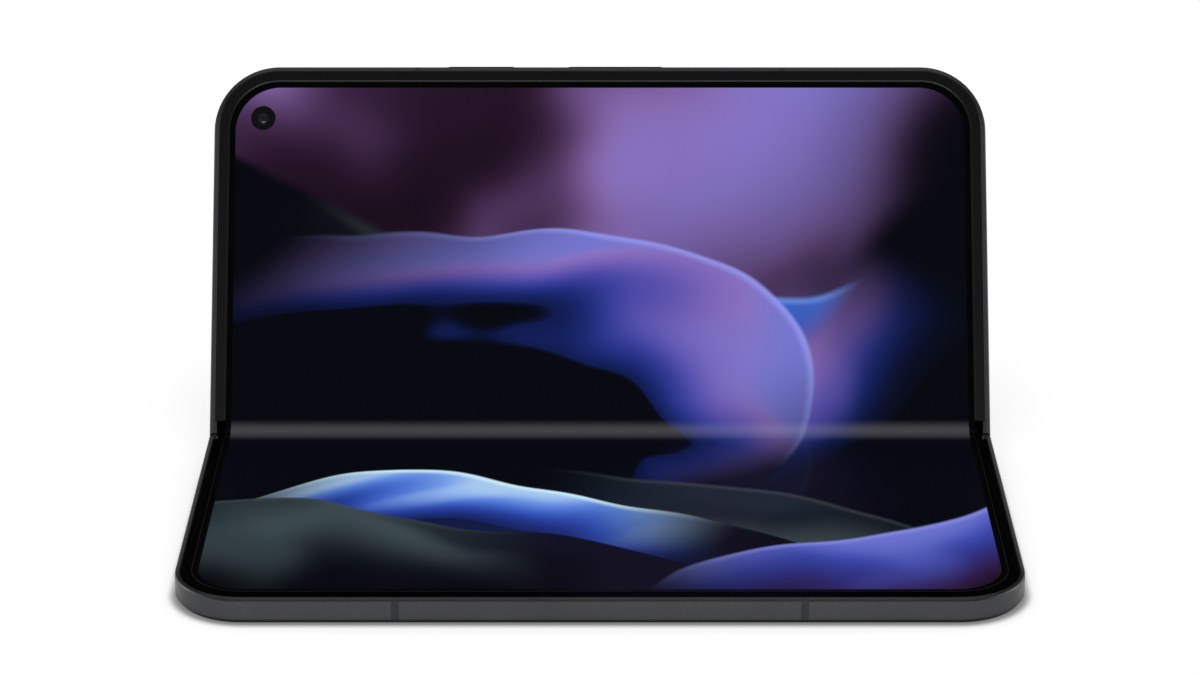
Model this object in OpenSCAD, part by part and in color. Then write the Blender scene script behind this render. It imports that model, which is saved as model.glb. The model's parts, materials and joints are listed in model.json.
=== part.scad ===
// Foldable phone, stood half open: the half with the small outer screen lies flat,
// the camera half leans back. Each half is drawn flat in its own axes: x runs along the fold,
// u runs from the fold to the outer edge, w runs up from the back to the soft screen rim (w = 0).

/* [Phone] */
// Length of the phone along the fold
phone_l = 155.2; // [150:0.1:165]
// Width of one half, from the fold line to its outer edge
half_w = 75.1; // [72:0.1:80]
// Thickness of one half, without the camera block
half_t = 5.1; // [5:0.05:5.8]
// Radius of the outer corners, seen from above
corner_r = 13; // [11:0.5:15]
// Angle between the two screen halves
open_angle = 120; // [100:5:150]

/* [Frame] */
// Width of the metal lip beside the soft rim
lip_w = 0.8; // [0.6:0.05:1]
// Thickness of the frame's outer wall
wall_t = 2; // [1.8:0.1:2.3]
// Width of the soft rim around the folding screen
rim_w = 2.3; // [2:0.1:2.6]
// Height of the bevel at the frame's lower edge
low_bevel = 0.9; // [0.7:0.05:1.1]
// Width of the plain metal beside the end of the fold
fold_end_w = 1.45; // [1.3:0.05:1.6]
// Distance from the fold line to the end of the soft rim
rim_start = 3.2; // [3.1:0.1:3.8]
// Width of the plastic antenna breaks
antenna_w = 1.4; // [1:0.1:2]
// Distance of the antenna breaks from the middle of the long edge
antenna_x = 36.8; // [32:0.1:45]

/* [Layers] */
// Depth of the screen surface below the soft rim
screen_drop = 0.25; // [0.15:0.05:0.3]
// Thickness of the folding screen
screen_t = 0.6; // [0.5:0.05:0.7]
// Thickness of the steel plate under the screen
plate_t = 0.2; // [0.15:0.05:0.25]
// Thickness of the web that is part of each frame
web_t = 0.6; // [0.5:0.05:0.7]
// Thickness of the outer glass sheets
glass_t = 0.6; // [0.5:0.05:0.7]
// Thickness of the outer screen panel
outer_screen_t = 0.6; // [0.5:0.05:0.8]

/* [Hinge] */
// Distance of each fold axis from the middle of the spine
axis_off = 1.525; // [1.5:0.005:1.6]
// Gap between the two soft rims when shut
shut_gap = 0.3; // [0.26:0.02:0.4]
// Depth of the spine's back inside the backs of the halves
spine_inset = 0.2; // [0.15:0.05:0.25]
// Thickness of the spine cover
spine_wall = 0.5; // [0.4:0.05:0.5]
// Running gap around the spine
spine_gap = 0.1; // [0.08:0.02:0.14]
// Bend radius of the screen at rest
bend_r = 6; // [5:0.5:8]
// Distance of the outer hinge units from the middle
hinge_x = 52; // [40:1:60]
// Number of hinge units
hinge_count = 3; // [2:1:3]
// Width of one sliding rail
rail_l = 5; // [3:0.5:6]
// Inner radius of the sliding rails
rail_r = 2.2; // [2.1:0.05:2.3]
// Thickness of the sliding rails
rail_t = 0.5; // [0.4:0.05:0.5]
// Running gap around the rails
rail_gap = 0.05; // [0.04:0.01:0.06]
// Module of the timing gears
gear_m = 0.15; // [0.14:0.01:0.15]
// Teeth of one pinion
pinion_teeth = 10; // [9:1:10]
// Teeth of a full wheel of the arm's gear
sector_teeth = 19; // [18:1:20]
// Width of the timing gears
gear_l = 2.4; // [1.5:0.1:3]
// Radius of the pinion's pin
pin_r = 0.35; // [0.25:0.05:0.4]
// Length of an arm's plate inside its half
arm_plate_u = 8; // [6:0.5:10]
// Radius of the hinge screws
screw_r = 0.5; // [0.4:0.05:0.6]

/* [Keys and tray] */
// Length of the power key
power_l = 13.8; // [10:0.1:16]
// Middle of the power key along the fold
power_x = -24; // [-30:0.5:-22]
// Length of the volume key
volume_l = 19.4; // [16:0.1:22]
// Middle of the volume key along the fold
volume_x = 3.1; // [0:0.1:8]
// Height of the keys
key_h = 1.9; // [1.5:0.1:2.2]
// Travel of the power key
key_travel = 0.2; // [0.15:0.05:0.25]
// How far the keys stand proud
key_proud = 0.3; // [0.25:0.05:0.4]
// Gap around the keys
key_gap = 0.08; // [0.06:0.01:0.12]
// Width of the card tray
tray_w = 11; // [10:0.5:13]
// Depth of the card tray
tray_l = 16; // [14:0.5:18]
// Thickness of the card tray
tray_t = 0.9; // [0.8:0.05:1.1]
// Middle of the card tray from the fold
tray_u = 50; // [44:0.5:56]

/* [Cameras] */
// Length of the camera block along the width of the half
block_u = 46; // [42:0.5:50]
// Width of the camera block along the fold
block_x = 34; // [32:0.5:38]
// Height of the camera block above the back glass
block_h = 3; // [2:0.1:4]
// Corner radius of the camera block
block_r = 11; // [8:0.5:14]
// Distance of the camera block from the edges
block_edge = 5.5; // [5:0.5:8]
// Radius of a rear lens
lens_r = 5.4; // [4.5:0.1:5.6]
// Radius of the round opening for the screen-side camera
punch_r = 2.5; // [2:0.1:2.8]
// Distance of the screen-side camera from the short edge
punch_x = 9.8; // [9:0.1:12]
// Distance of the screen-side camera from the long edge
punch_u = 10.5; // [9:0.1:12]

/* [Socket] */
// Width of the charging socket's mouth
usb_w = 8.34; // [8.3:0.01:8.4]
// Height of the charging socket's mouth
usb_h = 2.56; // [2.5:0.01:2.6]
// Wall of the charging socket
usb_wall = 0.3; // [0.2:0.05:0.3]
// Depth of the charging socket
usb_l = 7.3; // [6.5:0.1:8]
// Middle of the charging socket from the fold
usb_u = 37.5; // [30:0.5:45]

/* [Hidden] */
$fn = 48;
eps = 0.01;
fit = 0.05;
half_l = phone_l / 2;
rest_fold = (180 - open_angle) / 2;
fold_y = half_w / 2;
axis_drop = axis_off - shut_gap / 2;
shelf = screen_drop + screen_t + plate_t;
inner_top = shelf + web_t;
inner_floor = half_t - glass_t;
outer_screen_top = inner_floor - outer_screen_t;

lip_top = 0.12;
bevel_in = 0.2;
bevel_w = 0.35;
side_top = 0.65;
foot_in = 0.45;
foot_up = 0.3;
glass_in = foot_in + fit;
glass_bevel = 0.2;

spine_depth = half_t - spine_inset;
spine_r = spine_depth - axis_drop;
pocket_r = spine_r + spine_gap;
spine_in_r = spine_r - spine_wall;
tip_gap = 0.1;
notch_t = 0.5;
tip_w = shelf + tip_gap;
notch_w = shelf + notch_t;
arm_neck_t = 0.4;
back_tip_reach = 0.775;
back_rail_t = 1.45;
glass_reach = 3.125;
back_tip = axis_off + back_tip_reach;
fold_rail_u = axis_off + spine_r + back_rail_t;
glass_start = axis_off + glass_reach;
spine_l = 2 * (half_l - fold_end_w - spine_gap);
pocket_l = 2 * (half_l - fold_end_w);

strip_half_x = half_l - lip_w - rim_w - fit;
rim_lip = 0.4;
rim_bevel = [0.25, 0.12];
top_to_axis = axis_drop - screen_drop;
v_u = axis_off + (top_to_axis * sin(rest_fold) - axis_off) / cos(rest_fold);
bend_u = v_u + bend_r * tan(rest_fold);

cap_t = 0.7;
cap_gap = 0.15;
cap_seat_t = 0.25;
cap_x = strip_half_x + cap_gap;
cap_u = 2.75;
cap_top = 0.15;
cap_round = 0.6;

pinion_r = gear_m * pinion_teeth / 2;
sector_r = gear_m * sector_teeth / 2;
gear_dist = pinion_r + sector_r;
pinion_w = axis_drop + sqrt(pow(gear_dist, 2) - pow(axis_off - pinion_r, 2));
mesh_angle = atan2(axis_drop - pinion_w, pinion_r - axis_off);
tooth_share = 0.34;
addendum = 0.85 * gear_m;
dedendum = 1.15 * gear_m;
web_thick = 0.6;
web_gap = 0.3;
side_gap = 0.2;
gear_zone = gear_l / 2 + web_gap;
rail_x0 = gear_zone + web_thick + side_gap;
rail_x1 = rail_x0 + rail_l;
unit_l = rail_x1 + side_gap + web_thick;
bracket_r = spine_in_r - fit;
gear_air = 0.15;
bracket_top = pinion_w - pinion_r - gear_air;
track_mid = 1.2;
pin_gap = 0.03;
tie_u = 1.9;
tie_size = [0.8, 0.5];
tie_drop = 0.3;
hub_r = 0.42;
arm_u0 = axis_off + pocket_r + gear_air;
arm_u1 = arm_u0 + arm_plate_u;
arm_root = 0.5;
boss_t = 0.9;
boss_rim = 1;
screw_share = [0.2, 0.8];
screw_head_r = 2 * screw_r;
screw_head_t = 0.3;

tray_mid = half_t / 2 + 0.15;
tray_face_w = tray_w + 2.4;
tray_face_h = 1.7;
face_t = 1;
card = [12.4, 8.9, 0.8];
card_in = 1.2;
card_floor = 0.2;
eject_r = 0.4;
eject_u = tray_w / 2 + 0.4;
ear_u = 54;

key_mid = (side_top + half_t - low_bevel) / 2;
key_t = 1.1;
key_post = 1.2;
post_gap = 0.12;
post_air = 0.15;
pivot_r = 0.45;
pivot_l = 1.4;
strip_t = 0.4;
dome_r = key_mid - inner_top - fit;
dome_h = 0.5;
switch_u = half_w - wall_t - key_travel - 0.1;
usb_in = 0.9;
usb_drop = 0.1;
mouth_gap = 0.12;
tongue_w = 6.7;
tongue_t = 0.7;
tongue_l = 5.2;
tongue_root = [1.4, 1.1];
usb_mid = shelf + usb_drop + usb_wall + usb_h / 2;
sound_r = 0.6;
sound_step = 2.1;
sound_away = 12;
ear_span = 4.2;
punch_at = [-half_l + punch_x, half_w - punch_u];
punch_drop = 0.02;
sensor_rim = 0.4;
cover_cam_r = 2.1;
cover_cam_x = 10.5;

block_mid = [-half_l + block_edge + block_x / 2, half_w - block_edge - block_u / 2];
block_back = half_t + block_h;
block_bevel = 0.5;
window_edge = 2.6;
window_t = 0.7;
collar_h = 1.4;
collar = [0.4, 1.6, 2.6];
cam_gap = 0.1;
lens_a = block_mid + [-7.8, 9.3];
lens_b = block_mid + [7.8, 9.3];
lens_c = block_mid + [0, -6];
flash_at = block_mid + [-8.5, -15.5];
flash_r = 2.2;
board_step = block_mid + [block_x / 2 - 2, 1 - block_u / 2];

unit_places = [for (i = [0:hinge_count - 1]) -hinge_x + 2 * hinge_x * i / (hinge_count - 1)];

// Places of the parts inside, from the ends and edges of each half
bay_gap = 2.5;
bay_edge = 7;
bay_u0 = arm_u1 + bay_gap;
bay_u1 = half_w - bay_edge;
stack_gap = 0.15;
panel_edge = 5;
panel_start = 3;
end_gap = 3;
ear_bay = 25.6;
ear_half = 8;
motor_w = 6;
base_cell = [-half_l + 29.6, half_l - 35.6];
lid_cell = [-half_l + 53.6, half_l - 23.6];
cell_r = 2;
tab_size = [8, 1.4];
tab_t = 0.3;
rib_t = 0.8;
rib_h = 1.5;
base_ribs = [base_cell[0] - 2, base_cell[1] + 1.5];
lid_ribs = [lid_cell[0] - 1.5, lid_cell[1] + 1.5];
board_t = 0.8;
board_end = 4;
base_board_x = base_cell[1] + 3;
main_board_x = lid_cell[0] - 3;
board_w = inner_top + 0.9;
chip_t = 0.35;
reader_rim = 0.6;
reader_gap = 0.1;
block_seat = inner_floor - 0.4;
can_edge = 1;
can_u = 5.5;
can_split = 23.6;
coil_at = [15, half_w / 2 + 4];
coil_r = [11, 21];
coil_turns = 8;
coil_t = 0.35;
magnet = [5, 2.4, 1.6];
magnet_end = 17.6;
magnet_edge = 3.2;
speaker_x = lid_cell[1] + 3;
speaker_away = 9;

graphite = [0.30, 0.305, 0.31];
soft_black = [0.07, 0.07, 0.075];
glass_black = [0.03, 0.03, 0.035];
screen_blue = [0.16, 0.24, 0.45];
steel = [0.62, 0.63, 0.65];
battery_grey = [0.22, 0.22, 0.23];
board_green = [0.05, 0.18, 0.12];
copper = [0.72, 0.42, 0.25];
brass_gold = [0.75, 0.62, 0.35];

// Points of an arc about [cu, cw]
function arc(cu, cw, r, from, to, steps = 16) =
    [for (i = [0:steps]) let (t = from + (to - from) * i / steps) [cu + r * cos(t), cw + r * sin(t)]];

// Outline of a rounded rectangle between two corners
function round_rect(p, q, r, steps = 8) = concat(
    arc(q[0] - r, q[1] - r, r, 0, 90, steps), arc(p[0] + r, q[1] - r, r, 90, 180, steps),
    arc(p[0] + r, p[1] + r, r, 180, 270, steps), arc(q[0] - r, p[1] + r, r, 270, 360, steps));

// Turned into place: the base half lies on its outer screen
module place_base() translate([0, fold_y, half_t]) mirror([0, 1, 0]) children();

module place_spine() translate([0, fold_y - axis_off, half_t - axis_drop]) rotate([rest_fold, 0, 0])
    translate([0, axis_off, axis_drop]) children();

module place_lid() place_spine() translate([0, axis_off, -axis_drop]) rotate([rest_fold, 0, 0])
    translate([0, -axis_off, axis_drop]) children();

// Extrudes a [u, w] outline along the fold
module along_x(x0, x1) translate([x0, 0, 0]) rotate([90, 0, 90]) linear_extrude(x1 - x0) children();

// Extrudes an [x, w] outline away from the fold
module along_u(u0, u1) translate([0, u1, 0]) rotate([90, 0, 0]) linear_extrude(u1 - u0) children();

// Plate between two depths below the rim
module slab(depth0, depth1) translate([0, 0, -depth1]) linear_extrude(depth1 - depth0) children();

// Plan of one half, drawn in by inset and starting at u0
module half_plan(inset, u0) {
    r = corner_r - inset;
    x = half_l - corner_r;
    u = half_w - corner_r;
    polygon(concat([[half_l - inset, u0]], arc(x, u, r, 0, 90, 24), arc(-x, u, r, 90, 180, 24),
        [[-half_l + inset, u0]]));
}

// Carries a [inset, w] profile along both short sides and the outer long side
module edge_sweep(u0, profile) {
    for (s = [-1, 1]) {
        along_u(u0, half_w - corner_r) polygon([for (p = profile) [s * (half_l - p[0]), p[1]]]);
        translate([s * (half_l - corner_r), half_w - corner_r, 0]) rotate([0, 0, s > 0 ? 0 : 90])
            rotate_extrude(angle = 90) polygon([for (p = profile) [corner_r - p[0], p[1]]]);
    }
    along_x(-half_l + corner_r, half_l - corner_r)
        polygon([for (p = profile) [half_w - p[0], p[1]]]);
}

frame_profile = [[0, -half_t + low_bevel], [foot_in, -half_t + foot_up], [foot_in, -inner_floor],
    [wall_t, -inner_floor], [wall_t, -shelf], [lip_w, -shelf], [lip_w, -lip_top],
    [bevel_in, -bevel_w], [0, -side_top]];
fold_end_profile = [[0, -half_t + low_bevel], [foot_in, -half_t + foot_up / 2],
    [fold_end_w, -half_t + foot_up / 2], [fold_end_w, -lip_top], [lip_w, -lip_top],
    [bevel_in, -bevel_w], [0, -side_top]];

// End of the frame beside the fold, rounded about the fold axis
module fold_end() {
    intersection() {
        along_x(half_l - fold_end_w - eps, half_l + eps)
            polygon(concat([[rim_start, 0], [axis_off, 0]],
                arc(axis_off, -axis_drop, axis_drop, 90, 180),
                [[shut_gap / 2, -half_t], [rim_start, -half_t]]));
        along_u(0, rim_start - 2 * fit) polygon([for (p = fold_end_profile) [half_l - p[0], p[1]]]);
    }
}

// Metal rail that ends a half's back at the fold
module fold_rail() along_x(-half_l + foot_in, half_l - foot_in)
    polygon([[back_tip, -half_t], [glass_start - fit, -half_t], [glass_start - fit, -inner_floor],
        [fold_rail_u, -inner_floor], [fold_rail_u, -shelf], [back_tip, -shelf]]);

// Window for one hinge arm plate, with side +1 for the lid and -1 for the base
module arm_window(x0, side, gap, from = arm_u0) {
    a = side > 0 ? -gear_l / 2 : -rail_x1;
    b = side > 0 ? rail_x1 : gear_l / 2;
    translate([x0 + a - gap, from - gap, 0]) square([b - a + 2 * gap, arm_u1 - from + 2 * gap]);
}

// Screw places of one arm plate
function arm_screws(x0, side) = [for (k = screw_share)
    [x0 + side * (-gear_l / 2 + k * (rail_x1 + gear_l / 2)), arm_u1 - arm_plate_u * screw_share[0] * 2]];

module half_frame(side) {
    difference() {
        union() {
            edge_sweep(rim_start - 6 * fit, frame_profile);
            fold_end();
            mirror([1, 0, 0]) fold_end();
            slab(shelf, inner_top) half_plan(wall_t - 0.1, back_tip);
            fold_rail();
            for (x0 = unit_places)
                slab(inner_top - eps, inner_top + boss_t) arm_window(x0, side, boss_rim);
            for (x = side > 0 ? lid_ribs : base_ribs) slab(inner_top - eps, inner_top + rib_h)
                translate([x - rib_t / 2, bay_u0]) square([rib_t, bay_u1 - bay_u0]);
        }
        translate([0, axis_off, -axis_drop]) rotate([0, 90, 0])
            cylinder(r = pocket_r, h = pocket_l, center = true, $fn = 96);
        for (x0 = unit_places) {
            slab(shelf - 1, inner_top) arm_window(x0, side, fit, axis_off + 1);
            for (p = arm_screws(x0, side))
                translate([p[0], p[1], -inner_top - boss_t - 1]) cylinder(r = screw_r + fit, h = 3);
        }
        for (s = [-1, 1]) antenna_slot(s);
    }
}

module antenna_slot(s) translate([s * antenna_x - antenna_w / 2, half_w - wall_t + 0.5, -half_t - 1])
    cube([antenna_w, wall_t, half_t + 2]);

// Plastic that fills the two breaks of the outer rail
module antenna_breaks() intersection() {
    along_x(-half_l + corner_r, half_l - corner_r)
        polygon([for (p = frame_profile) [half_w - p[0], p[1]]]);
    for (s = [-1, 1]) antenna_slot(s);
}

rim_profile = [[lip_w + fit, -shelf], [lip_w + rim_w - rim_lip - fit, -shelf],
    [lip_w + rim_w - rim_lip - fit, -screen_drop], [lip_w + rim_w, -screen_drop],
    [lip_w + rim_w, -rim_bevel[1]], [lip_w + rim_w - rim_bevel[0], 0], [lip_w + rim_bevel[0], 0],
    [lip_w + fit, -rim_bevel[1]]];

module rim() edge_sweep(rim_start, rim_profile);

module screen_flat() slab(screen_drop, screen_drop + screen_t)
    half_plan(lip_w + rim_w - rim_lip, bend_u);

module screen_plate() slab(screen_drop + screen_t, shelf)
    half_plan(lip_w + rim_w - rim_lip, bend_u + 1);

module outer_glass(hole) {
    slab(inner_floor, half_t - glass_bevel) difference() {
        half_plan(glass_in, glass_start);
        if (hole) block_plan(fit);
    }
    slab(half_t - glass_bevel, half_t) difference() {
        half_plan(glass_in + glass_bevel, glass_start + glass_bevel);
        if (hole) block_plan(fit);
    }
}

module block_plan(grow) {
    h = [block_x / 2 + grow, block_u / 2 + grow];
    polygon(round_rect(block_mid - h, block_mid + h, block_r + grow, 16));
}

// Box with round corners between two points of the plan and two depths
module pack(p, q, depth0, depth1, r = 1) slab(depth0, depth1) polygon(round_rect(p, q, r, 4));

// Flank point of a tooth: an involute of the base circle, at radius r and tooth half angle
function inv(r, rb) = let (t = acos(rb / r)) tan(t) * 180 / PI - t;
function flank(z, r, half) = let (rp = gear_m * z / 2, rb = rp * cos(20), q = max(r, rb + 0.001))
    half + inv(rp, rb) - inv(q, rb);
function tooth(z, at) = let (rp = gear_m * z / 2, half = 180 * tooth_share / z,
        radii = [rp - dedendum, rp - dedendum / 2, rp, rp + addendum / 2, rp + addendum])
    concat([for (i = [0:4]) [radii[i], at - flank(z, radii[i], half)]],
        [for (i = [4:-1:0]) [radii[i], at + flank(z, radii[i], half)]]);
function polar(list) = [for (p = list) [p[0] * cos(p[1]), p[0] * sin(p[1])]];

// One hinge unit's pinion, with a tooth at angle at
module pinion(x0, side, at) {
    along_x(x0 - gear_l / 2, x0 + gear_l / 2) translate([side * pinion_r, -pinion_w])
        polygon(polar([for (i = [0:pinion_teeth - 1]) each tooth(pinion_teeth,
            at + 360 * i / pinion_teeth)]));
    along_x(x0 - gear_zone - web_thick + 0.1, x0 + gear_zone + web_thick - 0.1)
        translate([side * pinion_r, -pinion_w]) circle(r = pin_r);
}

// Toothed sector of an arm in the lid's axes when flat, with a tooth at angle at
module sector(x0, at) {
    step = 360 / sector_teeth;
    teeth = [for (i = [-2:3]) at - i * step];
    along_x(x0 - gear_l / 2, x0 + gear_l / 2) translate([axis_off, -axis_drop]) union() {
        polygon(concat(polar([for (t = [5:-1:0]) each tooth(sector_teeth, teeth[t])]), [[0, 0]]));
        circle(r = hub_r);
        translate([0, axis_drop - shelf - arm_neck_t])
            square([arm_u0 - axis_off + arm_root, arm_neck_t]);
    }
}

// Sliding rail of an arm: part of a ring about the fold axis, when flat
module slide_rail() {
    polygon(concat(arc(axis_off, -axis_drop, rail_r + rail_t, -175, 0, 36),
        arc(axis_off, -axis_drop, rail_r, 0, -175, 36)));
    translate([axis_off + rail_r, -shelf - arm_neck_t])
        square([arm_u0 - axis_off - rail_r + arm_root, arm_neck_t]);
}

// Arms of one half, drawn in the lid's axes
module hinge_arms(side) {
    tooth_at = mesh_angle - rest_fold + side * 90 / sector_teeth;
    for (x0 = unit_places) {
        difference() {
            union() {
                slab(shelf, inner_top) arm_window(x0, side, 0);
                sector(x0, tooth_at);
                along_x(side > 0 ? x0 + rail_x0 : x0 - rail_x1, side > 0 ? x0 + rail_x1 : x0 - rail_x0)
                    slide_rail();
            }
            for (p = arm_screws(x0, side)) translate([p[0], p[1], -inner_top - 1]) {
                cylinder(r = screw_r + fit, h = 3);
                translate([0, 0, 1 + web_t - screw_head_t]) cylinder(r = screw_head_r + fit, h = 2);
            }
        }
    }
}

module hinge_screws(side) for (x0 = unit_places, p = arm_screws(x0, side))
    translate([p[0], p[1], -inner_top - boss_t + 0.1]) {
        cylinder(r = screw_r, h = boss_t - 0.1 + web_t - screw_head_t);
        translate([0, 0, boss_t - 0.1 + web_t - screw_head_t]) cylinder(r = screw_head_r,
            h = screw_head_t - fit);
    }

// Section of the spine trough between two radii, with its tips below the screen plate
function tip_angle(r, w) = asin((axis_drop - w) / r);
module trough(r_out, r_in) polygon(concat(
    arc(axis_off, -axis_drop, r_out, tip_angle(r_out, tip_w), -90),
    arc(-axis_off, -axis_drop, r_out, -90, -180 - tip_angle(r_out, tip_w)),
    arc(-axis_off, -axis_drop, r_in, -180 - tip_angle(r_in, tip_w), -90),
    arc(axis_off, -axis_drop, r_in, -90, tip_angle(r_in, tip_w))));

// Filled section of the trough up to a depth
module trough_fill(r, depth) polygon(concat(
    arc(axis_off, -axis_drop, r, tip_angle(r, depth), -90),
    arc(-axis_off, -axis_drop, r, -90, -180 - tip_angle(r, depth))));

module spine_shell() difference() {
    along_x(-spine_l / 2, spine_l / 2) trough(spine_r, spine_in_r);
    for (x0 = unit_places, side = [-1, 1], part = [0, 1]) {
        a = part ? rail_x0 : -gear_l / 2;
        b = part ? rail_x1 : gear_l / 2;
        x = side > 0 ? x0 + a : x0 - b;
        translate([x - gear_air, side > 0 ? axis_off + 1 : -axis_off - spine_r - 1, -notch_w])
            cube([b - a + 2 * gear_air, spine_r, 2]);
    }
}

// Plate that closes one end of the spine, with the rounded tongue beside the screen
module spine_cap() {
    along_x(cap_x + cap_t, spine_l / 2) trough_fill(spine_in_r - fit, tip_w + cap_seat_t);
    along_x(cap_x, cap_x + cap_t + eps) union() {
        trough_fill(spine_in_r - fit, tip_w + cap_seat_t);
        polygon(concat([[cap_u, -axis_drop - notch_t]], arc(cap_u - cap_round, -cap_top - cap_round,
            cap_round, 0, 90, 8), arc(-cap_u + cap_round, -cap_top - cap_round, cap_round, 90, 180, 8),
            [[-cap_u, -axis_drop - notch_t]]));
    }
}

// Rounded web of a bracket, filling the trough below the gears' top
module bracket_web() trough_fill(bracket_r, bracket_top);

module rail_track() difference() {
    bracket_web();
    translate([axis_off, -axis_drop]) difference() {
        circle(r = rail_r + rail_t + rail_gap);
        circle(r = rail_r - rail_gap);
    }
    translate([-half_t, -half_t]) square([half_t - track_mid, half_t]);
}

module hinge_bracket(x0) {
    difference() {
        for (x = [-unit_l, -gear_zone - web_thick, gear_zone, unit_l - web_thick])
            along_x(x0 + x, x0 + x + web_thick) bracket_web();
        for (side = [-1, 1]) translate([x0, side * pinion_r, -pinion_w]) rotate([0, 90, 0])
            cylinder(r = pin_r + pin_gap, h = 2 * (gear_zone + web_thick) + 1, center = true);
    }
    along_x(x0 + gear_zone + web_thick - eps, x0 + unit_l - web_thick + eps) rail_track();
    along_x(x0 - unit_l + web_thick - eps, x0 - gear_zone - web_thick + eps) mirror([1, 0]) rail_track();
    for (side = [-1, 1]) along_x(x0 - gear_zone - eps, x0 + gear_zone + eps)
        translate([side > 0 ? tie_u : -tie_u - tie_size[0], -pinion_w - tie_drop]) square(tie_size);
}

// Bent middle of the screen at rest, tangent to both halves
module bent_screen() {
    mid_w = -axis_drop + (v_u - axis_off) * sin(rest_fold) + top_to_axis * cos(rest_fold)
        + bend_r / cos(rest_fold);
    along_x(-strip_half_x, strip_half_x) polygon(concat(
        arc(0, mid_w, bend_r, -90 - rest_fold, -90 + rest_fold, 24),
        arc(0, mid_w, bend_r + screen_t, -90 + rest_fold, -90 - rest_fold, 24)));
}

// Keys, drawn in the lid's axes; the post reaches the switch through the frame wall
module key_shape(x, l, grow, u0) along_u(u0, half_w + (grow > 0 ? 1 : key_proud))
    translate([x, -key_mid]) polygon(round_rect([-l / 2 - grow, -key_h / 2 - grow],
        [l / 2 + grow, key_h / 2 + grow], key_h / 2 + grow - eps, 8));

module key_cut(x, l) {
    key_shape(x, l, key_gap, half_w - key_t - key_travel - fit);
    for (s = [-1, 1]) along_u(half_w - wall_t - 1, half_w) translate([x + s * l / 4, -key_mid])
        circle(r = key_post / 2 + post_gap);
}

module key(x, l) {
    key_shape(x, l, 0, half_w - key_t);
    for (s = [-1, 1]) along_u(half_w - wall_t - key_travel + post_air, half_w - key_t + eps)
        translate([x + s * l / 4, -key_mid]) circle(r = key_post / 2);
}

// Round pivot in the back of the rocking key, across its length
module key_pivot(grow) translate([volume_x, half_w - key_t, -key_mid])
    cylinder(r = pivot_r + grow, h = pivot_l + 2 * grow, center = true);

module tray_slot(grow, x0, x1, w, h) along_x(x0, x1)
    translate([tray_u, -tray_mid]) polygon(round_rect([-w / 2 - grow, -h / 2 - grow],
        [w / 2 + grow, h / 2 + grow], min(w, h) / 2 + grow - eps, 8));

// Mouth of the socket, grown outwards
module usb_plan(grow) translate([usb_u, -usb_mid]) polygon(round_rect(
    [-usb_w / 2 - grow, -usb_h / 2 - grow], [usb_w / 2 + grow, usb_h / 2 + grow],
    usb_h / 2 + grow - eps, 8));

module eject_hole() translate([half_l, tray_u + eject_u, -tray_mid]) rotate([0, 90, 0])
    cylinder(r = eject_r, h = 2 * wall_t + 1, center = true, $fn = 24);

// Row of small round sound holes through a short side of the frame
module sound_holes(x, u0, count) for (i = [0:count - 1])
    translate([x, u0 + sound_step * i, -usb_mid]) rotate([0, 90, 0])
        cylinder(r = sound_r, h = 2 * wall_t + 1, center = true, $fn = 24);

module base_frame() color(graphite) place_base() difference() {
    half_frame(-1);
    tray_slot(fit, half_l - face_t - fit, half_l + 1, tray_face_w, tray_face_h);
    tray_slot(fit, half_l - wall_t - 1, half_l, tray_w, tray_t);
    eject_hole();
    sound_holes(-half_l, ear_u - ear_span, 5);
}

module base_rim() color(soft_black) place_base() rim();
module base_screen() color(screen_blue) place_base() screen_flat();
module base_screen_plate() color(steel) place_base() screen_plate();
module cover_glass() color(glass_black) place_base() outer_glass(false);

module cover_screen() color(screen_blue) place_base() slab(outer_screen_top, inner_floor)
    difference() {
        polygon(round_rect([-half_l + panel_edge, glass_start + panel_start],
            [half_l - panel_edge, half_w - panel_edge + 1], corner_r - panel_edge + 1, 16));
        translate([-half_l + cover_cam_x, half_w / 2]) circle(r = cover_cam_r + 4 * fit);
    }

module cover_camera() color(glass_black) place_base()
    translate([-half_l + cover_cam_x, half_w / 2, 0]) {
        slab(inner_top + fit, outer_screen_top - fit) square(3 * cover_cam_r, center = true);
        slab(outer_screen_top - 2 * fit, inner_floor) circle(r = cover_cam_r);
    }

// Pouch cell between two places along the fold, with its connector tab beside the hinge
module cell(x, depth) {
    pack([x[0], bay_u0], [x[1], bay_u1], inner_top, depth, cell_r);
    translate([(x[0] + x[1] - tab_size[0]) / 2, bay_u0 - tab_size[1], 0])
        slab(inner_top, inner_top + tab_t) square(tab_size + [0, cell_r]);
}

// Chips on a board: each has the place of its corner and its size in plan
module chips(list, depth) for (c = list)
    translate([c[0], c[1], 0]) slab(depth - eps, depth + chip_t) square([c[2], c[3]]);

module base_battery() color(battery_grey) place_base() cell(base_cell, outer_screen_top - stack_gap);

module base_board() color(board_green) place_base() {
    slab(board_w, board_w + board_t) difference() {
        polygon(round_rect([base_board_x, bay_u0], [half_l - board_end, bay_u1], 2, 4));
        polygon(round_rect([half_l - tray_l - board_end, tray_u - tray_w / 2 - 2 * reader_rim],
            [half_l, tray_u + tray_w / 2 + 2 * reader_rim], 1, 4));
    }
    chips([for (k = [0:2]) [base_board_x + 2, bay_u0 + 3 + 8 * k, 5 + k, 5],
        [base_board_x + 11, bay_u0 + 3, 12, 9], [base_board_x + 11, bay_u0 + 15, 7, 7]],
        board_w + board_t);
}

module ear_speaker() color(soft_black) place_base()
    pack([-half_l + end_gap, ear_u - ear_half], [-half_l + ear_bay, ear_u + ear_half],
        inner_top, outer_screen_top - stack_gap, 1.5);

module vibration_motor() color(steel) place_base()
    pack([-half_l + board_end, bay_u0], [-half_l + ear_bay, bay_u0 + motor_w],
        inner_top, outer_screen_top - stack_gap, 0.5);

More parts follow.
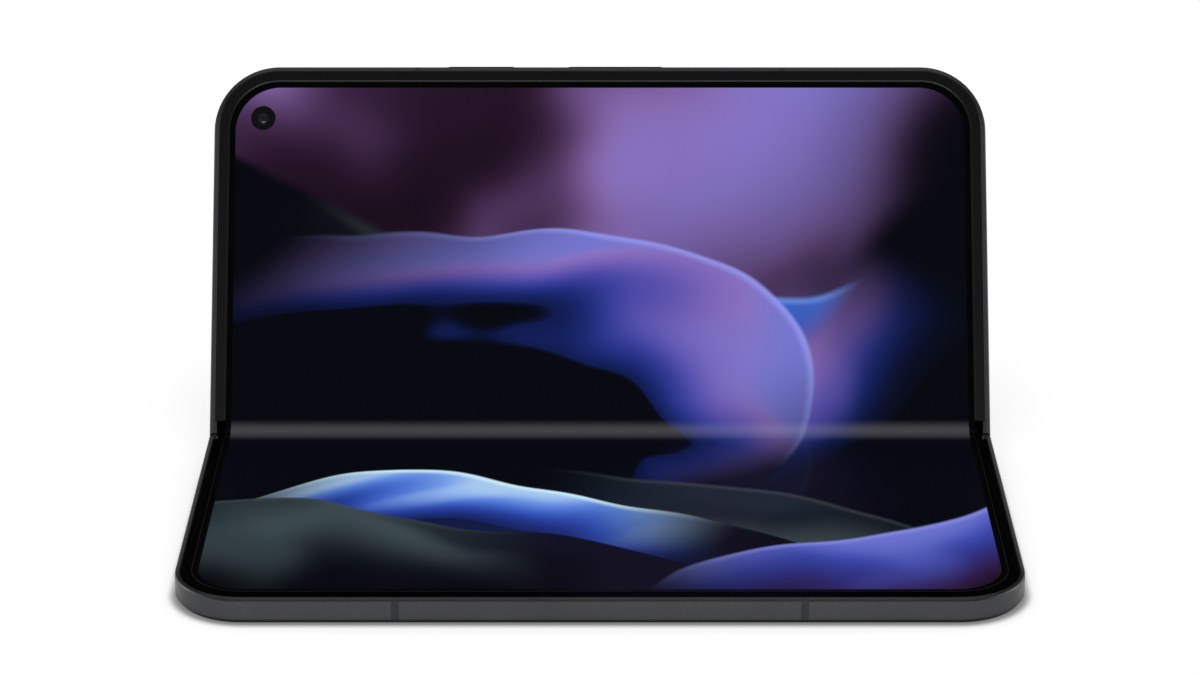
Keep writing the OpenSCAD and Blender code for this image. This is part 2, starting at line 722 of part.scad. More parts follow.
module card_reader() color(steel) place_base() difference() {
    translate([half_l - wall_t - tray_l + reader_gap, tray_u - tray_w / 2 - reader_rim,
        -outer_screen_top + reader_gap])
        cube([tray_l - 2 * reader_gap, tray_w + 2 * reader_rim,
            outer_screen_top - reader_gap - inner_top]);
    tray_slot(fit, half_l - wall_t - tray_l - 1, half_l, tray_w, tray_t);
}

module base_antenna_breaks() color(soft_black) place_base() antenna_breaks();
module base_hinge_arms() color(steel) place_base() hinge_arms(-1);
module base_hinge_screws() color(steel) place_base() hinge_screws(-1);

module magnets() for (s = [-1, 1], k = [-1, 1])
    translate([s * (half_l - magnet_end) + k * (magnet[0] + 1) / 2 - magnet[0] / 2,
        half_w - wall_t - magnet_edge, -inner_top - magnet[2]]) cube(magnet);
module base_magnets() color(steel) place_base() magnets();
module lid_magnets() color(steel) place_lid() magnets();

module card_tray() color(graphite) place_base() {
    difference() {
        tray_slot(0, half_l - face_t, half_l, tray_face_w, tray_face_h);
        eject_hole();
    }
    difference() {
        tray_slot(0, half_l - face_t - tray_l, half_l - face_t + eps, tray_w, tray_t);
        translate([half_l - face_t - tray_l + card_in, tray_u - card[1] / 2,
            -tray_mid - tray_t / 2 + card_floor]) cube(card);
    }
}

module lid_frame() color(graphite) place_lid() difference() {
    half_frame(1);
    key_cut(power_x, power_l);
    key_cut(volume_x, volume_l);
    key_pivot(fit);
    along_x(half_l - usb_in - eps, half_l + 1) usb_plan(mouth_gap);
    along_x(half_l - usb_in - usb_l - fit, half_l - usb_in) usb_plan(usb_wall + fit);
    sound_holes(half_l, usb_u + sound_away, 7);
    sound_holes(-half_l, half_w / 2, 1);
    translate([punch_at[0], punch_at[1], -inner_top - 1])
        cylinder(r = punch_r + sensor_rim + rim_lip, h = 3);
    slab(shelf - 1, inner_top + 1) for (p = [lens_a, lens_b, lens_c])
        translate(p) circle(r = lens_r - sensor_rim);
}

module lid_rim() color(soft_black) place_lid() rim();

module lid_screen() color(screen_blue) place_lid() difference() {
    screen_flat();
    translate([punch_at[0], punch_at[1], -shelf - 1]) cylinder(r = punch_r, h = 3);
}

module lid_screen_plate() color(steel) place_lid() difference() {
    screen_plate();
    translate([punch_at[0], punch_at[1], -shelf - 1]) cylinder(r = punch_r + 4 * fit, h = 3);
}

module inner_camera() color(glass_black) place_lid() translate([punch_at[0], punch_at[1], 0]) {
    slab(screen_drop + punch_drop, inner_top + sensor_rim) circle(r = punch_r - fit);
    slab(inner_top + fit, inner_floor - sensor_rim) circle(r = punch_r + sensor_rim);
}

module back_glass() color(glass_black) place_lid() outer_glass(true);

module camera_block() color(graphite) place_lid() difference() {
    union() {
        slab(block_seat, block_back - block_bevel) block_plan(0);
        slab(block_back - block_bevel, block_back) block_plan(-block_bevel);
    }
    slab(block_back - window_t, block_back + 1) block_plan(-window_edge);
    for (p = [lens_a, lens_b, lens_c]) slab(0, block_back) translate(p) circle(r = lens_r + cam_gap);
    slab(0, block_back) translate(flash_at) circle(r = flash_r + cam_gap);
}

module camera_window() color(glass_black) place_lid()
    slab(block_back - window_t, block_back - cam_gap) block_plan(-window_edge - fit);

// Stepped round camera with its square sensor housing
module rear_camera(p, r, depth) color(soft_black) place_lid() translate(p) {
    slab(depth, block_seat - fit) square(2 * r - 1, center = true);
    slab(block_seat - fit, block_back - window_t - collar_h) circle(r = r);
    slab(block_back - window_t - collar_h, block_back - window_t - fit) difference() {
        circle(r = r - collar[0]);
        circle(r = r - collar[1]);
    }
    slab(block_back - window_t - collar_h - eps, block_back - window_t - collar_h / 2) difference() {
        circle(r = r - collar[1]);
        circle(r = r - collar[2]);
    }
}

module main_camera() rear_camera(lens_a, lens_r, inner_top + cam_gap);
module wide_camera() rear_camera(lens_b, lens_r - 0.5, inner_top + cam_gap);
module zoom_camera() rear_camera(lens_c, lens_r - 0.3, inner_top + cam_gap);

module flash_lamp() color([0.95, 0.9, 0.75]) place_lid()
    slab(block_seat - fit, block_back - window_t - fit) translate(flash_at) circle(r = flash_r);

module lid_battery() color(battery_grey) place_lid() cell(lid_cell, inner_floor - coil_t);

module main_board() color(board_green) place_lid() {
    slab(board_w, board_w + board_t) polygon([[-half_l + board_end, bay_u0], [main_board_x, bay_u0],
        [main_board_x, bay_u1], [board_step[0], bay_u1], board_step, [-half_l + board_end, board_step[1]]]);
    chips([for (k = [0:3]) [board_step[0] + 3, bay_u1 - 9 - 9 * k, 6 + k, 6]], board_w + board_t);
}

module shield_cans() color(steel) place_lid() {
    pack([-half_l + board_end + 2 * can_edge, bay_u0 + can_edge],
        [-half_l + can_split, bay_u0 + can_edge + can_u], board_w + board_t, block_seat - fit, 0.5);
    pack([-half_l + can_split + board_end, bay_u0 + can_edge],
        [main_board_x - end_gap, bay_u0 + can_edge + can_u], board_w + board_t, block_seat - fit, 0.5);
}

module charging_coil() color(copper) place_lid() translate(coil_at) {
    pitch = (coil_r[1] - coil_r[0]) / coil_turns;
    slab(inner_floor - coil_t, inner_floor - coil_t / 2) difference() {
        circle(r = coil_r[1], $fn = 96);
        circle(r = coil_r[0], $fn = 96);
    }
    slab(inner_floor - coil_t / 2 - eps, inner_floor - 2 * fit) for (i = [0:coil_turns - 1])
        difference() {
            circle(r = coil_r[0] + pitch * (i + 0.9), $fn = 96);
            circle(r = coil_r[0] + pitch * (i + 0.1), $fn = 96);
        }
}

module usb_socket() color(steel) place_lid() {
    difference() {
        along_x(half_l - usb_in - usb_l, half_l - usb_in - fit) usb_plan(usb_wall);
        along_x(half_l - usb_in - usb_l + usb_wall, half_l) usb_plan(0);
    }
    for (part = [[tongue_l, tongue_t], tongue_root])
        translate([half_l - usb_in - usb_l + usb_wall - eps, usb_u - tongue_w / 2,
            -usb_mid - part[1] / 2]) cube([part[0], tongue_w, part[1]]);
}

module lid_speaker() color(soft_black) place_lid()
    pack([speaker_x, usb_u + speaker_away], [half_l - end_gap, half_w - speaker_away],
        inner_top, inner_floor - stack_gap, 1.5);

module lid_antenna_breaks() color(soft_black) place_lid() antenna_breaks();
module lid_hinge_arms() color(steel) place_lid() hinge_arms(1);
module lid_hinge_screws() color(steel) place_lid() hinge_screws(1);

module key_switches() color(brass_gold) place_lid()
    for (k = [[power_x, power_l], [volume_x, volume_l]]) {
        translate([k[0] - k[1] / 2, switch_u - dome_h - strip_t, -key_mid - dome_r])
            cube([k[1], strip_t, key_mid + dome_r - inner_top]);
        for (s = [-1, 1]) along_u(switch_u - dome_h - eps, switch_u)
            translate([k[0] + s * k[1] / 4, -key_mid]) circle(r = dome_r);
    }

module power_key() color(graphite) place_lid() key(power_x, power_l);
module volume_key() color(graphite) place_lid() {
    key(volume_x, volume_l);
    key_pivot(0);
}

module spine_cover() color(graphite) place_spine() spine_shell();
module spine_end_caps() color(soft_black) place_spine() {
    spine_cap();
    mirror([1, 0, 0]) spine_cap();
}
module hinge_brackets() color(steel) place_spine() for (x0 = unit_places) hinge_bracket(x0);
module fold_screen() color(screen_blue) place_spine() bent_screen();

// The two trains stand half a tooth apart, so that the pinions mesh with each other as well
function pinion_at(side) = mesh_angle + 180 + side * 90 / pinion_teeth;
module lid_pinions() color(brass_gold) place_spine() for (x0 = unit_places)
    pinion(x0, 1, pinion_at(1));
module base_pinions() color(brass_gold) place_spine() for (x0 = unit_places)
    pinion(x0, -1, 180 - pinion_at(-1));

base_frame();
base_rim();
base_screen();
base_screen_plate();
cover_glass();
cover_screen();
cover_camera();
base_battery();
base_board();
ear_speaker();
vibration_motor();
card_reader();
base_antenna_breaks();
base_hinge_arms();
base_hinge_screws();
base_magnets();
card_tray();
lid_frame();
lid_rim();
lid_screen();
lid_screen_plate();
inner_camera();
back_glass();
camera_block();
camera_window();
main_camera();
wide_camera();
zoom_camera();
flash_lamp();
lid_battery();
main_board();
shield_cans();
charging_coil();
usb_socket();
lid_speaker();
lid_antenna_breaks();
lid_hinge_arms();
lid_hinge_screws();
lid_magnets();
key_switches();
power_key();
volume_key();
spine_cover();
spine_end_caps();
hinge_brackets();
fold_screen();
base_pinions();
lid_pinions();
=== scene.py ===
"""Foldable phone stood half open on a white table.

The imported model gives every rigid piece. This script finishes its surfaces, bends the folding
screen between the two halves, fits the lens parts, and sets up the studio and the camera.
Each half has its own axes: x along the fold, u from the fold to the outer edge, w up from the
back, with w = 0 at the top of the soft rim. Lengths are metres unless a name ends in _MM.
"""

import json
import math

import bmesh
import bpy
import numpy as np
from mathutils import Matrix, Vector


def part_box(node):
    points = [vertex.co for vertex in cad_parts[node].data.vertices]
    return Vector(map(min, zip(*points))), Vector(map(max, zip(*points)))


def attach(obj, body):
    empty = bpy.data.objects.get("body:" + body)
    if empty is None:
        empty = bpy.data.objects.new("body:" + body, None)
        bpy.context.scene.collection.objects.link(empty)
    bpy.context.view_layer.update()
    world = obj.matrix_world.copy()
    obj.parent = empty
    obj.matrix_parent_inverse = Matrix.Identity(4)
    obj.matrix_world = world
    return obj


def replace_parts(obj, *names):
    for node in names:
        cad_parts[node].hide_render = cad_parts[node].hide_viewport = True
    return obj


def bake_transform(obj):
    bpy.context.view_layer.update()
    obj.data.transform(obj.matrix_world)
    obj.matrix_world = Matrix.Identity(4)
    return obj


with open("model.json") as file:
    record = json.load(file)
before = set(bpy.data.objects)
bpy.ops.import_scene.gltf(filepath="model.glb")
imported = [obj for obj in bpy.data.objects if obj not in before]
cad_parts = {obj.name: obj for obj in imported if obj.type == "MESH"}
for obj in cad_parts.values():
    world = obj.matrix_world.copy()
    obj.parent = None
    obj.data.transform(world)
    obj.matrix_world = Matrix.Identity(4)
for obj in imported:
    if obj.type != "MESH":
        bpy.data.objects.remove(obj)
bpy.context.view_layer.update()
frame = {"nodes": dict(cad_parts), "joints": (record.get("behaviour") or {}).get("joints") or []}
NODES = frame["nodes"]
JOINTS = {joint["name"]: joint for joint in frame["joints"]}

MM = 0.001

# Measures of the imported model.
BASE_AXIS = np.array(JOINTS["fold_base"]["pos_m"])
LID_AXIS = np.array(JOINTS["fold_lid"]["pos_m"])
AXIS_OFF = float(np.linalg.norm(LID_AXIS - BASE_AXIS)) / 2
HALF_FOLD = math.radians(-JOINTS["fold_base"]["range_deg"][0])
LID_ANGLE = 2 * HALF_FOLD
RIM_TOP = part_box("base_rim")[1].z
AXIS_DROP = RIM_TOP - BASE_AXIS[2]
FOLD_Y = BASE_AXIS[1] + AXIS_OFF
HALF_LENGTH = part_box("base_frame")[1].x
HALF_WIDTH = FOLD_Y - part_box("base_frame")[0].y
SCREEN_DROP = RIM_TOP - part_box("base_screen")[1].z
SCREEN_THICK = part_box("base_screen")[1].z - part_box("base_screen")[0].z
STRIP_HALF_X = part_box("fold_screen")[1].x

# The bend of the screen: where it starts, the line where the two flat screens would meet, and
# the arc that is tangent to both.
BEND_U = FOLD_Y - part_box("base_screen")[1].y
TOP_TO_AXIS = AXIS_DROP - SCREEN_DROP
MEET_U = AXIS_OFF + (TOP_TO_AXIS * math.sin(HALF_FOLD) - AXIS_OFF) / math.cos(HALF_FOLD)
MEET_W = -AXIS_DROP + ((MEET_U - AXIS_OFF) * math.sin(HALF_FOLD)
                       + TOP_TO_AXIS * math.cos(HALF_FOLD))
BEND_R = (BEND_U - MEET_U) / math.tan(HALF_FOLD)
BEND_MIDDLE_W = MEET_W + BEND_R / math.cos(HALF_FOLD)
BEND_STEPS, BEND_COLUMNS = 24, 41

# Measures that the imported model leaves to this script.
LIT_MARGIN_MM, LIT_CORNER_MM, LIT_BLUR_MM = 4.3, 9.1, 0.06
OUTER_CORNER = 13.0 * MM
RIM_INSET = 3.1 * MM
RIM_START = 3.2 * MM
RIM_BEAD_R = 0.08 * MM
EYE_R, EYE_RISE, EYE_SINK = 0.85 * MM, 0.12 * MM, 0.03 * MM
EYE_RING_R, EYE_RING_RISE = 1.15 * MM, 0.06 * MM
WINDOW_HALF_THICK = 0.3 * MM
LENS_INSET, LENS_RISE = 0.6 * MM, 0.25 * MM
TRIM_WIDTH, TRIM_RISE, TRIM_SINK = 0.7 * MM, 0.35 * MM, 0.1 * MM
RIM_ARC_POINTS, RIM_SIDES = 25, 12

# New meshes: points this near are joined, edges this short are dropped, and edges that turn more
# than this stay sharp.
WELD, SLIVER, SHARP_DEG = 1e-7, 1e-8, 40

# The camera, from a fit of the outline in the photo.
FRAME_PX, FOCAL_PX, SENSOR_WIDTH = 1200.0, 3549.0, 36.0
CAMERA_BACK, CAMERA_UP, CAMERA_TILT_DEG = 0.6483, 0.2840, 21.74

# The white surround as mirrors see it: bands of the direction over which it changes, and how
# bright it is above, in front and beside.
CEILING_BAND, CEILING = (0.03, 0.2), 0.03
FRONT_BAND, FRONT_CARD = (-0.35, -0.7), 0.08
SIDE_BAND, SIDE_TOP_BAND, SIDE_CARD = (0.6, 0.85), (0.6, 0.45), 1.0
WORLD_FILL = 0.4
TABLE_HALF, TABLE_GRAY, TABLE_MIRROR, TABLE_GLOW = 3.0, 0.8, 0.45, 0.55
CONTACT_SHADE, CONTACT_BAND_MM = 0.3, (-0.2, 2.0)

# Name, place, point aimed at, width, height and power of each lamp.
LAMPS = [
    ("overhead", (0, 0.06, 1.0), (0, 0.03, 0), 1.4, 0.4, 1.2),
    ("back", (0, 0.75, 0.95), (0, 0.06, 0.03), 0.8, 0.4, 1),
    ("front fill", (0, -1.3, 0.28), (0, 0, 0.02), 0.8, 0.25, 6),
    ("side strip", (-1.2, 0.25, 0.12), (0, 0, 0.02), 0.15, 0.15, 2),
    ("side strip", (1.2, 0.25, 0.12), (0, 0, 0.02), 0.15, 0.15, 2),
]

# Where a noise has its darkest and its lightest colour.
SPECKLE_BAND = (0.3, 0.7)

BLACK, WHITE = (0, 0, 0, 1), (1, 1, 1, 1)
GRAPHITE = (0.075, 0.077, 0.08)
SOFT_BLACK = (0.0006, 0.0006, 0.0007)
SCREEN_BLACK = (0.002, 0.002, 0.0025)
# Painted sheen along the crease: its pale colour, where it is full on each side in mm, its power.
CREASE_PAINTED_SHEEN = (0.08, 0.08, 0.086)
PAINTED_SHEEN_FULL_MM, PAINTED_SHEEN_POWER = (0.3, 0.7), 1.4

# Colour of a lens by its radius share.
PUPIL, COATING, RING = (0.001, 0.001, 0.0015), (0.012, 0.008, 0.035), (0.06, 0.06, 0.065)
LENS_RINGS = [(0.0, PUPIL), (0.26, PUPIL), (0.30, COATING), (0.46, COATING), (0.48, RING),
              (0.50, RING), (0.52, PUPIL), (0.74, PUPIL), (0.76, RING), (0.78, RING), (0.80, PUPIL)]

# Colours of the screen picture.
NIGHT = (0.0012, 0.0016, 0.004)
SLATE = (0.010, 0.017, 0.021)
MIST = (0.06, 0.09, 0.10)
NAVY = (0.004, 0.009, 0.05)
COBALT = (0.02, 0.05, 0.42)
SKY = (0.10, 0.25, 0.80)
PERIWINKLE = (0.16, 0.18, 0.62)
LILAC = (0.30, 0.17, 0.50)
PLUM = (0.035, 0.008, 0.032)
PALE = (0.42, 0.62, 0.86)
BACKDROP_STOPS = [(0.1, NIGHT), (0.4, PLUM), (0.72, LILAC), (1.0, PERIWINKLE)]
VEIL_STOPS = (0.0, 0.25, 0.6, 0.95)

# The screen picture's own measures: two slow noises that bend everything, the streaks of the
# backdrop, and the ripples, folds, sheen, light lines and ends of the veils.
PICTURE_HALF_MM = 74
DRIFT_SCALE, DRIFT = 0.012, 0.5
SILK_SCALE, SILK = 0.026, 0.16
STREAK_ACROSS, STREAK_ALONG, STREAK_SILK = 3.4, -2.6, 4.5
GLOW_STREAK, GLOW_RISE, GLOW_BASE = 0.34, 0.2, 0.36
RIPPLES = 5.0
SHARE_SILK, FOLD_SILK, FOLD_DEPTH = 0.5, 0.9, 0.22
SHEEN, SHEEN_BAND, NEAR_BAND = 0.5, (0.2, 1.0), (0.7, 0.1)
LINE_WIDTH, LINE_LIFT, LINE_GAIN = 0.03, 0.1, 1.3
DIM_FROM, DIM_TO = 0.45, 1.25

# One row per veil of the screen picture, from the back to the front. turn is the direction of its
# crest in degrees, rise its distance from the middle, bow and wave the crest's bend and ripple,
# phase the ripple's start, depth how far it fades, soft the width of its edge, fade where it dims
# along the crest, folds the count, slant and strength of its glossy folds, rim the strength of the
# light line on its crest, and then its colours from the crest down. Distances are halves of the
# screen's length.
VEILS = [
    (24, 0.30, 0.16, 0.10, 0.7, 0.95, 0.30, (-1.5, 0.6), (7, 0.9, 0.7), 0.0,
     (PLUM, LILAC, PERIWINKLE, NIGHT)),
    (-38, 0.32, -0.30, 0.05, 2.0, 1.0, 0.012, (-0.8, 1.8), (7, -0.9, 0.7), 0.30,
     (SLATE, NIGHT, SLATE, NIGHT)),
    (-62, 0.02, -0.40, 0.06, 1.1, 0.34, 0.02, (-0.75, 0.65), (8, 0.7, 0.9), 0.5,
     (MIST, SLATE, NIGHT, NIGHT)),
    (40, 0.20, -0.42, 0.05, 0.9, 1.15, 0.012, (-1.2, 1.05), (4, 1.3, 0.6), 0.5,
     (SKY, COBALT, NAVY, NIGHT)),
    (66, -0.16, -0.46, 0.05, 2.6, 0.42, 0.05, (-0.8, 0.6), (6, 0.8, 0.6), 0.0,
     (LILAC, COBALT, NAVY, NIGHT)),
    (-52, 0.50, -0.90, 0.06, 2.2, 0.40, 0.008, (-0.75, 0.35), (9, 1.1, 0.9), 0.8,
     (PERIWINKLE, LILAC, COBALT, NIGHT)),
    (2, -0.20, -0.75, 0.06, 3.6, 0.70, 0.012, (0.0, 0.95), (5, 0.9, 0.5), 0.25,
     (SLATE, NIGHT, MIST, NIGHT)),
    (-14, -0.32, -0.50, 0.05, 4.1, 0.32, 0.006, (-0.75, 0.45), (9, 1.5, 0.8), 0.9,
     (PALE, SKY, COBALT, NAVY)),
    (-20, -0.62, -0.26, 0.04, 5.2, 0.55, 0.006, (-1.2, 0.1), (6, -1.2, 0.9), 0.15,
     (SLATE, MIST, NIGHT, NIGHT)),
    (26, -0.92, 0.16, 0.04, 0.9, 0.42, 0.008, (-0.1, 1.3), (7, 1.0, 0.6), 0.5,
     (PERIWINKLE, COBALT, PLUM, NIGHT)),
]


def turned(y, z, axis, angle):
    """Points turned about a line along x through axis, by the right-hand rule."""
    dy, dz = y - axis[1], z - axis[2]
    cos, sin = math.cos(angle), math.sin(angle)
    return axis[1] + dy * cos - dz * sin, axis[2] + dy * sin + dz * cos


def on_base(x, u, w):
    """Row-frame points of the half that lies flat."""
    x, u, w = np.broadcast_arrays(np.asarray(x, float), u, w)
    return np.stack([x, FOLD_Y - u, RIM_TOP + w], -1)


def on_spine(x, u, w):
    """Row-frame points of the spine, whose axes are half-way between the two halves."""
    x, u, w = np.broadcast_arrays(np.asarray(x, float), u, w)
    y, z = turned(FOLD_Y + u, RIM_TOP + w, BASE_AXIS, HALF_FOLD)
    return np.stack([x, y, z], -1)


def on_lid(x, u, w):
    """Row-frame points of the leaning half."""
    x, u, w = np.broadcast_arrays(np.asarray(x, float), u, w)
    flat_axis = np.array([0, FOLD_Y + AXIS_OFF, RIM_TOP - AXIS_DROP])
    y, z = turned(FOLD_Y + u, RIM_TOP + w, flat_axis, HALF_FOLD)
    y, z = turned(y, z, BASE_AXIS, HALF_FOLD)
    return np.stack([x, y, z], -1)


def lid_middle(node):
    """The leaning half's own x, u, w of the middle of a CAD node's box."""
    low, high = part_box(node)
    point = np.array((low + high) / 2)
    origin = on_lid(0, 0, 0)
    along_u, along_w = on_lid(0, 1, 0) - origin, on_lid(0, 0, 1) - origin
    offset = point - origin
    return float(point[0]), float(offset @ along_u), float(offset @ along_w)


def mesh_piece(name, grid, closed_u=False, closed_v=False, uv=None, solid=True):
    """A mesh object from a grid of points, shape (rows, columns, 3). A solid's poles and seams
    are joined and its faces turned outwards."""
    rows, columns = grid.shape[:2]
    index = np.arange(rows * columns).reshape(rows, columns)
    if closed_u:
        index = np.vstack([index, index[:1]])
    if closed_v:
        index = np.hstack([index, index[:, :1]])
    quads = np.stack([index[:-1, :-1], index[:-1, 1:], index[1:, 1:], index[1:, :-1]], -1)
    mesh = bpy.data.meshes.new(name)
    mesh.from_pydata(grid.reshape(-1, 3).tolist(), [], quads.reshape(-1, 4).tolist())
    if uv is not None:
        corners = np.empty(len(mesh.loops), np.int32)
        mesh.loops.foreach_get("vertex_index", corners)
        flat = uv.reshape(-1, 2)[corners].astype(np.float32)
        mesh.uv_layers.new(name="UVMap").data.foreach_set("uv", flat.ravel())
    if solid:
        work = bmesh.new()
        work.from_mesh(mesh)
        bmesh.ops.remove_doubles(work, verts=work.verts, dist=WELD)
        bmesh.ops.dissolve_degenerate(work, edges=work.edges, dist=SLIVER)
        bmesh.ops.recalc_face_normals(work, faces=work.faces)
        work.to_mesh(mesh)
        work.free()
    mesh.shade_smooth()
    mesh.set_sharp_from_angle(angle=math.radians(SHARP_DEG))
    piece = bpy.data.objects.new(name, mesh)
    bpy.context.scene.collection.objects.link(piece)
    return piece


class Nodes:
    """Short ways to add nodes to a tree. A value is a number, a colour or another node's output."""

    def __init__(self, tree):
        self.tree = tree

    def node(self, kind, **settings):
        made = self.tree.nodes.new(kind)
        for key, value in settings.items():
            setattr(made, key, value)
        return made

    def link(self, source, target):
        if hasattr(source, "is_output"):
            self.tree.links.new(source, target)
        else:
            target.default_value = source

    def calc(self, operation, *values):
        made = self.node("ShaderNodeMath", operation=operation)
        for value, socket in zip(values, made.inputs):
            self.link(value, socket)
        return made.outputs[0]

    def step(self, value, low, high, to_low=0.0, to_high=1.0):
        """A smooth step from to_low at low to to_high at high, which may lie below low."""
        made = self.node("ShaderNodeMapRange", interpolation_type="SMOOTHSTEP")
        for number, socket in zip([value, low, high, to_low, to_high], made.inputs):
            self.link(number, socket)
        return made.outputs[0]

    def mix(self, factor, first, second):
        made = self.node("ShaderNodeMix", data_type="RGBA")
        for value, socket in zip([factor, first, second], [made.inputs[0], *made.inputs[6:8]]):
            self.link(value, socket)
        return made.outputs[2]

    def ramp(self, value, stops, interpolation="LINEAR"):
        made = self.node("ShaderNodeValToRGB")
        made.color_ramp.interpolation = interpolation
        while len(made.color_ramp.elements) < len(stops):
            made.color_ramp.elements.new(1.0)
        for element, (place, color) in zip(made.color_ramp.elements, stops):
            element.position, element.color = place, (*color, 1)
        self.link(value, made.inputs[0])
        return made.outputs[0]

    def noise(self, vector, scale, detail=2.0):
        made = self.node("ShaderNodeTexNoise")
        self.link(vector, made.inputs["Vector"])
        made.inputs["Scale"].default_value = scale
        made.inputs["Detail"].default_value = detail
        return made.outputs["Fac"]

    def coordinate(self, kind):
        return self.node("ShaderNodeTexCoord").outputs[kind]

    def split(self, vector):
        made = self.node("ShaderNodeSeparateXYZ")
        self.link(vector, made.inputs[0])
        return made.outputs

    def rounded_edge(self, across, along, half_x, half_u, corner):
        """Distance outside a rounded rectangle about the origin, negative inside it."""
        out_x = self.calc("SUBTRACT", self.calc("ABSOLUTE", across), half_x - corner)
        out_u = self.calc("SUBTRACT", self.calc("ABSOLUTE", along), half_u - corner)
        out_x, out_u = self.calc("MAXIMUM", out_x, 0), self.calc("MAXIMUM", out_u, 0)
        square = self.calc("ADD", self.calc("MULTIPLY", out_x, out_x),
                           self.calc("MULTIPLY", out_u, out_u))
        return self.calc("SUBTRACT", self.calc("SQRT", square), corner)


class Shader(Nodes):
    """A material with its principled surface, whose sockets are set by name."""

    def __init__(self, name, **inputs):
        self.material = bpy.data.materials.new(name)
        self.material.use_nodes = True
        super().__init__(self.material.node_tree)
        self.surface = self.tree.nodes["Principled BSDF"]
        for key, value in inputs.items():
            self.surface.inputs[key.replace("_", " ")].default_value = value

    def shine(self, socket, value):
        self.link(value, self.surface.inputs[socket])

    def speckle(self, value, color, darkest):
        """Base colour between a darker shade and the colour itself, by a noise."""
        low, high = SPECKLE_BAND
        self.shine("Base Color", self.ramp(value, [(low, [darkest * c for c in color]),
                                                   (high, color)]))

    def bump(self, height, strength, distance):
        made = self.node("ShaderNodeBump")
        self.link(height, made.inputs["Height"])
        made.inputs["Strength"].default_value = strength
        made.inputs["Distance"].default_value = distance
        self.shine("Normal", made.outputs[0])


def bead_blasted(name, color, roughness=0.34):
    """Satin anodised aluminium: fine bead-blast grain and slight cloudiness."""
    cloud_share, grain_share, contrast, swing = 0.35, 0.65, 0.16, 0.03
    shader = Shader(name, Metallic=0.85, Roughness=roughness)
    place = shader.coordinate("Object")
    cloud = shader.noise(place, scale=60.0, detail=3.0)
    grain = shader.noise(place, scale=3200.0, detail=1.0)
    cloud = shader.calc("MULTIPLY_ADD", grain, grain_share,
                        shader.calc("MULTIPLY", cloud, cloud_share))
    low, high = SPECKLE_BAND
    shader.shine("Base Color", shader.ramp(cloud, [(low, [(1 - contrast) * c for c in color]),
                                                   (high, [(1 + contrast) * c for c in color])]))
    shader.shine("Roughness",
                 shader.step(cloud, low, high, roughness - swing, roughness + swing))
    shader.bump(shader.noise(place, scale=9000.0), strength=0.10, distance=0.00002)
    return shader.material


def moulded(name, color, roughness=0.5, grain=5000.0, gloss=0.4):
    """Matt moulded plastic with a fine spark-eroded grain."""
    shader = Shader(name, Roughness=roughness, Specular_IOR_Level=gloss)
    place = shader.coordinate("Object")
    shader.speckle(shader.noise(place, scale=90.0), color, darkest=0.9)
    shader.bump(shader.noise(place, grain), strength=0.12, distance=0.00003)
    return shader.material


def dark_glass(name, color, roughness):
    """Opaque back-painted glass with faint unevenness in its colour."""
    shader = Shader(name, Roughness=roughness)
    shader.speckle(shader.noise(shader.coordinate("Object"), scale=40.0), color, darkest=0.9)
    return shader.material


def lens_glass(name):
    """Coated lens: a black pupil and dark violet glass between fine rings, by the radius share
    that the piece carries in its UV map."""
    shader = Shader(name, Roughness=0.04, Coat_Weight=1.0, Coat_Roughness=0.02)
    share = shader.split(shader.coordinate("UV"))[0]
    shader.shine("Base Color", shader.ramp(share, LENS_RINGS))
    return shader.material


def brushed(name, color, roughness=0.35):
    """Stamped metal with a fine brush along x."""
    shader = Shader(name, Metallic=1.0, Roughness=roughness)
    mapping = shader.node("ShaderNodeMapping")
    along, across = 40, 4000
    mapping.inputs["Scale"].default_value = (along, across, across)
    shader.link(shader.coordinate("Object"), mapping.inputs["Vector"])
    streak = shader.noise(mapping.outputs[0], scale=1.0, detail=3.0)
    shader.speckle(streak, color, darkest=0.85)
    shader.bump(streak, strength=0.15, distance=0.00002)
    return shader.material


